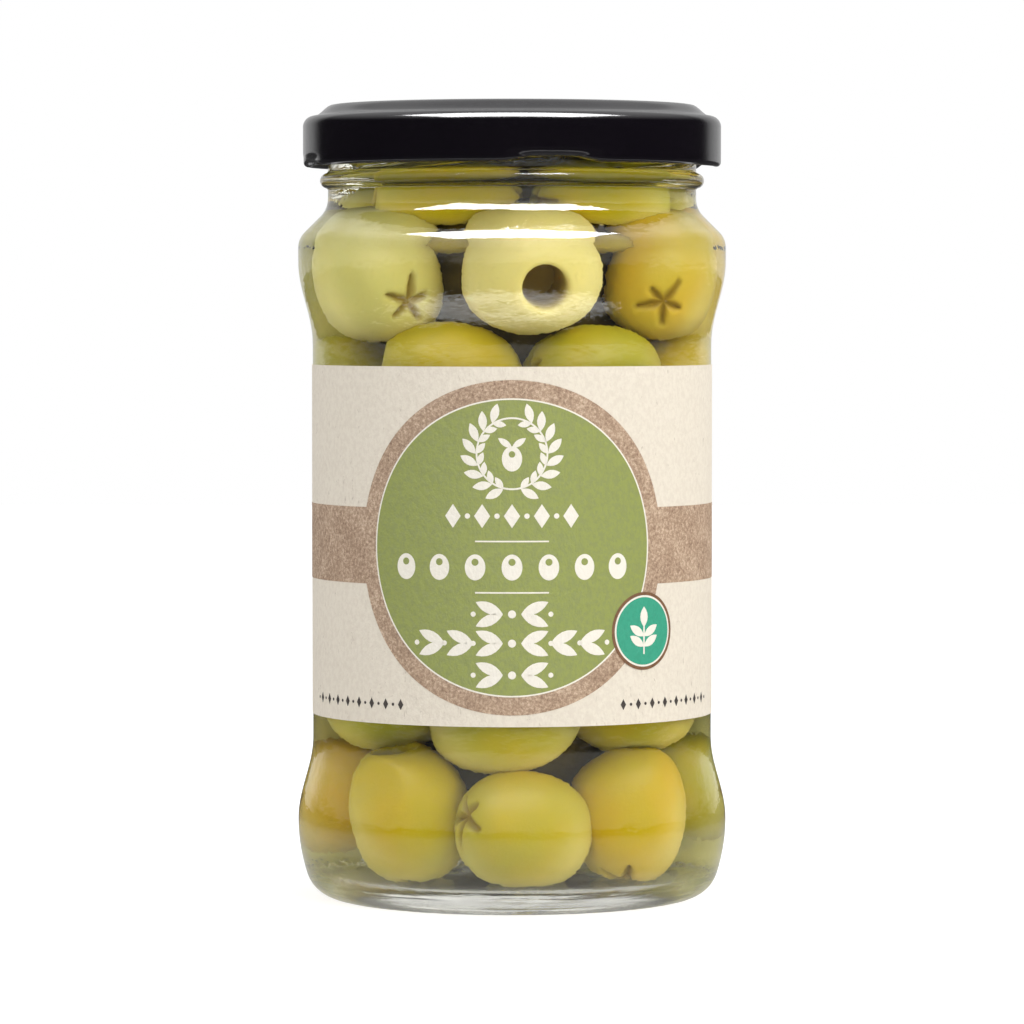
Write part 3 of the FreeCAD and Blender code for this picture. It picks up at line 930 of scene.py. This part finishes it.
# %% Paper, band, ring and disc
LABEL_GAP = 5.0
DISC_LEVEL = 57.1
DISC_RADIUS = 23.0
KRAFT_RADIUS = 25.8
BAND_HALF = 5.95
LINE = 0.24

half_way = math.pi * paper_radius - LABEL_GAP / 2

wrapped(lambda bm: bar(bm, -half_way, half_way, label_foot, label_head),
        "label_paper", cream_paper, 0.0, PAPER_THICKNESS, node="label")
wrapped(lambda bm: bar(bm, -half_way, half_way, DISC_LEVEL - BAND_HALF, DISC_LEVEL + BAND_HALF),
        "label_band", kraft_print, 0.03)
wrapped(lambda bm: ring(bm, 0, DISC_LEVEL, KRAFT_RADIUS, DISC_RADIUS - 0.5, sides=128),
        "label_ring", kraft_print, 0.05)
wrapped(lambda bm: disc(bm, 0, DISC_LEVEL, DISC_RADIUS, sides=128), "label_disc", green_ink, 0.07)

# %% Ornament in cream on the disc
WREATH_LEVEL = 71.6
WREATH_RADIUS = 5.6


def draw_wreath(bm):
    """Two curved twigs of leaves, open at the top, round an olive with two leaves."""
    ring(bm, 0, WREATH_LEVEL, WREATH_RADIUS, WREATH_RADIUS - 0.28)
    for side in (-1, 1):
        for k in range(8):
            angle = -90 + side * (14 + 19 * k)
            x = WREATH_RADIUS * math.cos(math.radians(angle))
            y = WREATH_LEVEL + WREATH_RADIUS * math.sin(math.radians(angle))
            leaf(bm, x, y, angle + side * 48, 3.1, 1.35)
            leaf(bm, x, y, angle + side * 132, 2.2, 1.0)
    disc(bm, 0, WREATH_LEVEL - 0.8, 1.55, tall=1.25)
    leaf(bm, 0, WREATH_LEVEL + 0.9, 35, 2.6, 1.0)
    leaf(bm, 0, WREATH_LEVEL + 0.9, 145, 2.6, 1.0)


def draw_rows(bm):
    """Rows of simple figures between and about two rules."""
    for k in range(-2, 3):
        lozenge(bm, k * 4.6, 62.0, 2.5, 3.7)
        if k < 2:
            disc(bm, (k + 0.5) * 4.6, 62.0, 0.42, sides=16)
    for level in (58.1, 50.2):
        bar(bm, -5.7, 5.7, level - LINE / 2, level + LINE / 2)
    for k in range(-3, 4):
        disc(bm, k * 5.7, 54.1, 1.6, tall=1.25)
    for level, pairs in ((46.9, 1), (42.4, 3), (37.5, 1)):
        disc(bm, 0, level, 0.62, sides=20)
        for side in (-1, 1):
            for k in range(pairs):
                start = side * (1.4 + 4.6 * k)
                for lean in (24, -24):
                    leaf(bm, start, level, lean if side > 0 else 180 + lean, 4.6, 1.7)
                disc(bm, side * (1.4 + 4.6 * (k + 1)), level, 0.4, sides=16)


wrapped(draw_wreath, "label_wreath", cream_ink, 0.09)
wrapped(draw_rows, "label_rows", cream_ink, 0.09)
wrapped(lambda bm: ring(bm, 0, DISC_LEVEL, DISC_RADIUS, DISC_RADIUS - LINE, sides=128),
        "label_outline", cream_ink, 0.09)


def draw_pits(bm):
    """The pit holes of the printed olives, in the disc's own green."""
    for k in range(-3, 4):
        disc(bm, k * 5.7, 54.9, 0.55, sides=18)
    disc(bm, 0, WREATH_LEVEL - 0.1, 0.5, sides=18)


wrapped(draw_pits, "label_pits", green_ink, 0.11)

# %% The round seal and the small dividers
SEAL_PLACE = (22.1, 43.9)
SEAL_RADIUS = 6.05


def draw_seal_leaves(bm):
    x, y = SEAL_PLACE
    bar(bm, x - 0.14, x + 0.14, y - 3.6, y + 1.0)
    leaf(bm, x, y + 0.6, 90, 3.2, 1.5)
    for level in (-2.4, -0.8):
        leaf(bm, x, y + level, 32, 3.2, 1.35)
        leaf(bm, x, y + level, 148, 3.2, 1.35)


wrapped(lambda bm: disc(bm, *SEAL_PLACE, SEAL_RADIUS, sides=72), "label_seal_rim", brown_ink, 0.11)
wrapped(lambda bm: disc(bm, *SEAL_PLACE, SEAL_RADIUS - 0.5, sides=72), "label_seal_white", cream_ink, 0.13)
wrapped(lambda bm: disc(bm, *SEAL_PLACE, SEAL_RADIUS - 0.8, sides=72), "label_seal_field", teal_ink, 0.15)
wrapped(draw_seal_leaves, "label_seal_leaves", cream_ink, 0.17)

DIVIDER_LEVEL = 32.6


def draw_dividers(bm):
    for side in (-1, 1):
        for k in range(8):
            x = side * (18.2 + 2.9 * k)
            lozenge(bm, x, DIVIDER_LEVEL, 1.0, 1.7)
            disc(bm, x + side * 1.45, DIVIDER_LEVEL, 0.24, sides=12)


wrapped(draw_dividers, "label_dividers", dark_ink, 0.03)

# %% [markdown]
# ## The lid
# The lid is pressed from tinplate: a sunk panel with a shallow button, a raised ring over the rim, a
# step down to a ledge, a rounded shoulder, and a skirt that ends in a rolled edge. Below each thread the
# rolled edge is pressed flat and inward to make a lug. The lugs are the only part that isn't turned, so
# they are pushed in after the spin, and the foot of the skirt has closer points to bend there.

# %% Black lacquer
black_lacquer, finish = new_finish("black_lacquer")
peel = finish.noise(0.35, detail=2.0)
finish.end(finish.surface({
    "Base Color": finish.mixed(finish.noise(0.1), srgb(8, 5, 12), srgb(15, 11, 18)),
    "Roughness": finish.noise(0.9, detail=4.0) * 0.1 + 0.1, "IOR": 1.5,
    "Coat Weight": 0.1, "Coat Roughness": 0.06,
    "Normal": finish.bump(peel + finish.noise(1.5) * 0.3, 0.02)}))

# %% Sizes of the lid, in millimetres
TIN = 0.25
LEDGE_DROP = 1.75
LID_SHOULDER = 1.7
SINK_DEPTH = 0.9
BUTTON_DEPTH = 0.4
BUTTON_RADIUS = 9.5
BUTTON_BLEND = 2.5
SINK_BLEND = 1.9
CURL = 0.75
CLOSE_POINTS = 2.4
RING_OUT = 28.6
RING_IN = 25.9
LUGS = 4
LUG_TURN = math.radians(11.5 - 90)
LUG_FLAT = math.radians(5)
LUG_HALF = math.radians(14)
LUG_HEIGHT = 1.9
LUG_TOE = 29.65
LUG_LIFT = 0.9
LUG_FLATTEN = 0.12
LUG_SINK = 0.6

lid_top = lid_high.z
lid_foot = lid_low.z
lid_radius = lid_high.x
ledge = lid_top - LEDGE_DROP
shoulder_in = lid_radius - LID_SHOULDER


def lid_outline():
    sunk = lid_top - SINK_DEPTH
    outline = Outline(0, sunk - BUTTON_DEPTH)
    outline.line(BUTTON_RADIUS, sunk - BUTTON_DEPTH, spacing=3.0)
    outline.step(BUTTON_RADIUS + BUTTON_BLEND, sunk)
    outline.line(RING_IN - SINK_BLEND, sunk, spacing=3.0)
    outline.step(RING_IN, lid_top)
    outline.line(RING_OUT, lid_top)
    outline.step(shoulder_in, ledge)
    outline.arc(lid_radius, ledge - LID_SHOULDER, LID_SHOULDER, "right")
    outline.line(lid_radius, lid_foot + 2 * CURL + CLOSE_POINTS, spacing=2.0)
    outline.line(lid_radius, lid_foot + CURL, spacing=0.3)
    # the rolled edge, then back up the inside
    outline.arc(lid_radius - CURL, lid_foot, CURL, "right", fineness=20)
    outline.arc(lid_radius - 2 * CURL, lid_foot + CURL, CURL, "right", fineness=20)
    outline.arc(lid_radius - CURL, lid_foot + 2 * CURL, CURL, "right", fineness=20)
    outline.line(lid_radius - TIN, lid_foot + 2 * CURL)
    outline.line(lid_radius - TIN, lid_foot + 2 * CURL + CLOSE_POINTS - 0.4, spacing=0.4)
    outline.line(lid_radius - TIN, ledge - LID_SHOULDER, spacing=2.0)
    outline.arc(shoulder_in, ledge - TIN, LID_SHOULDER - TIN, "left")
    outline.step(RING_OUT, lid_top - TIN)
    outline.line(RING_IN, lid_top - TIN)
    outline.step(RING_IN - SINK_BLEND, sunk - TIN)
    outline.line(BUTTON_RADIUS + BUTTON_BLEND, sunk - TIN, spacing=3.0)
    outline.step(BUTTON_RADIUS, sunk - BUTTON_DEPTH - TIN)
    outline.line(0, sunk - BUTTON_DEPTH - TIN, spacing=3.0)
    return outline.points


def press_lugs(bm):
    """Flatten the rolled edge at each lug, push it inward and lift it a little."""
    for vert in bm.verts:
        angle = math.atan2(vert.co.y, vert.co.x)
        step = math.tau / LUGS
        along = abs((angle - LUG_TURN + step / 2) % step - step / 2)
        share = smooth(along, LUG_HALF, LUG_FLAT)
        share *= smooth(vert.co.z, lid_foot + LUG_HEIGHT + 0.3, lid_foot + 0.9)
        if share:
            out = vert.co.xy.length
            depth = (lid_radius - out) / (2 * CURL)
            pressed = lid_radius - LUG_SINK - depth * (lid_radius - LUG_SINK - LUG_TOE)
            vert.co.xy *= (out + (pressed - out) * share) / out
            raised = lid_foot + LUG_LIFT + (vert.co.z - lid_foot) * LUG_FLATTEN
            vert.co.z += (raised - vert.co.z) * share


def make_lid():
    bm = spun(lid_outline(), 180)
    press_lugs(bm)
    return piece_from(bm, "lid_black", black_lacquer, sharp=60, node="lid")


make_lid()

# %% [markdown]
# ## The stage
# The jar stands on a white sweep, and the floor keeps only its soft shadow. What glass and lacquer mirror
# is made apart from what lights them: a small bright floor close by, a bright ring that only the slope
# under the upper belly catches, dark in front, and a pale wall behind and ceiling above.

# %% Floor
FLOOR_HALF = 1.6
FLOOR_DROP = 0.00005
NEAR_FLOOR = (0.04, 0.20)


def stage_piece(bm, name, material):
    mesh = bpy.data.meshes.new(name)
    bm.to_mesh(mesh)
    bm.free()
    mesh.materials.append(material)
    piece = bpy.data.objects.new(name, mesh)
    bpy.context.scene.collection.objects.link(piece)


floor_white, finish = new_finish("floor_white")
path = finish.add("ShaderNodeLightPath")
seen = finish.value(path, "Is Camera Ray") * 0.5 + finish.value(path, "Is Transmission Ray") * 0.12
matt = finish.add("ShaderNodeBsdfDiffuse", None, {"Color": (0.8, 0.8, 0.82, 1)})
glow = finish.add("ShaderNodeEmission", None, {"Color": (1, 1, 1, 1), "Strength": seen})
lit = finish.add("ShaderNodeAddShader", None, {0: matt.outputs[0], 1: glow.outputs[0]})
away = finish.value(finish.add("ShaderNodeVectorMath", {"operation": "LENGTH"}, {0: finish.place()}),
                    "Value")
mirror = finish.add("ShaderNodeEmission", None, {
    "Color": (1, 1, 1, 1),
    "Strength": (1 - away.above(*NEAR_FLOOR)) * 0.5 + 0.08})
finish.end(finish.add("ShaderNodeMixShader", None, {
    0: finish.value(path, "Is Glossy Ray"), 1: lit.outputs[0], 2: mirror.outputs[0]}))

bm = bmesh.new()
bmesh.ops.create_grid(bm, x_segments=1, y_segments=1, size=FLOOR_HALF,
                      matrix=Matrix.Translation((0, 0, cad_low.z - FLOOR_DROP)))
stage_piece(bm, "floor", floor_white)

# %% A bright ring that only the upper window mirrors
GLOW_RING = (0.122, 0.141)
GLOW_RING_LEVEL = 0.040
GLOW_RING_STRENGTH = 2.2

ring_glow, finish = new_finish("ring_glow")
path = finish.add("ShaderNodeLightPath")
above = 1 - finish.value(finish.add("ShaderNodeNewGeometry"), "Backfacing")
finish.end(finish.add("ShaderNodeMixShader", None, {
    0: finish.value(path, "Is Glossy Ray") * above,
    1: finish.add("ShaderNodeBsdfTransparent").outputs[0],
    2: finish.add("ShaderNodeEmission", None, {"Strength": GLOW_RING_STRENGTH}).outputs[0]}))

bm = bmesh.new()
ring(bm, 0, 0, GLOW_RING[1], GLOW_RING[0])
bmesh.ops.translate(bm, vec=(0, 0, GLOW_RING_LEVEL), verts=bm.verts)
stage_piece(bm, "glow_ring", ring_glow)

# %% World
ROOM_LEVEL = 0.86
DARK_FRONT = 0.03
WALL_BEHIND = (0.64, 0.82)
WALL_MIRRORED = 0.62
CEILING = (0.3, 0.9)
CEILING_MIRRORED = 1.3
BACKDROP = (0.2, 0.95)
BACKDROP_SHARE = 0.25
SIDES_LEVEL = 0.74

world = bpy.data.worlds.new("white_room")
bpy.context.scene.world = world
finish = Finish(world)
path = finish.add("ShaderNodeLightPath")
heading = finish.add("ShaderNodeSeparateXYZ", None,
                     {0: finish.add("ShaderNodeTexCoord").outputs["Generated"]})
depth = finish.value(heading, "Y")
upward = finish.value(heading, "Z")
direct = finish.value(path, "Is Camera Ray")
mirrored = finish.value(path, "Is Glossy Ray")
through = finish.value(path, "Is Transmission Ray")
plain = 1 - direct.most(mirrored).most(through)
level = direct + plain * ROOM_LEVEL
level = level + mirrored * (depth.above(*WALL_BEHIND) * WALL_MIRRORED
                            + upward.above(*CEILING) * CEILING_MIRRORED + DARK_FRONT)
level = level + through * (depth.above(*BACKDROP) * BACKDROP_SHARE + SIDES_LEVEL)
sky = finish.add("ShaderNodeBackground", None, {"Color": (1, 1, 1, 1), "Strength": level})
finish.end(sky, "ShaderNodeOutputWorld")

# %% [markdown]
# ## Lamps
# A wide box above and in front draws the white bands along the shoulder and the lid, and is there for
# reflections only. A soft lamp from the right and in front lights the label.

# %% Make the lamps
def softbox(name, where, size, level, aim=(0, 0, 0.06), colour=(1, 1, 1), diffuse=True, glossy=True):
    """A rectangular lamp of an even brightness, level, that faces the jar."""
    lamp = bpy.data.lights.new(name, "AREA")
    lamp.shape = "RECTANGLE"
    lamp.size, lamp.size_y = size
    lamp.energy = level * math.pi * size[0] * size[1]
    lamp.color = colour
    box = bpy.data.objects.new(name, lamp)
    box.location = where
    box.rotation_euler = (Vector(aim) - Vector(where)).to_track_quat("-Z", "Y").to_euler()
    box.visible_camera = False
    box.visible_transmission = False
    box.visible_diffuse = diffuse
    box.visible_glossy = glossy
    bpy.context.scene.collection.objects.link(box)
    return box


softbox("overhead_box", (0, -0.62, 1.1), (1.7, 1.05), 26, aim=(0, -0.62, 0), diffuse=False)
softbox("right_key", (1.15, -0.95, 0.75), (1.2, 1.2), 2.3, colour=(1, 0.97, 0.92), glossy=False)

# %% [markdown]
# ## The camera
# A long lens from a little over shoulder height of the jar, tipped slightly down, keeps the sides
# almost upright and shows a sliver of the curve at the label's edges.

# %% Camera
EYE_DISTANCE = 0.840
EYE_HEIGHT = 0.0951
TIP_DOWN = math.radians(2.30)

camera_data = bpy.data.cameras.new("camera")
camera_data.lens = 185.16
camera_data.sensor_width = 36.0
camera = bpy.data.objects.new("camera", camera_data)
camera.location = (0, -EYE_DISTANCE, EYE_HEIGHT)
camera.rotation_euler = (math.radians(90) - TIP_DOWN, 0, 0)
bpy.context.scene.collection.objects.link(camera)
bpy.context.scene.camera = camera
bpy.context.scene.view_settings.view_transform = "Standard"
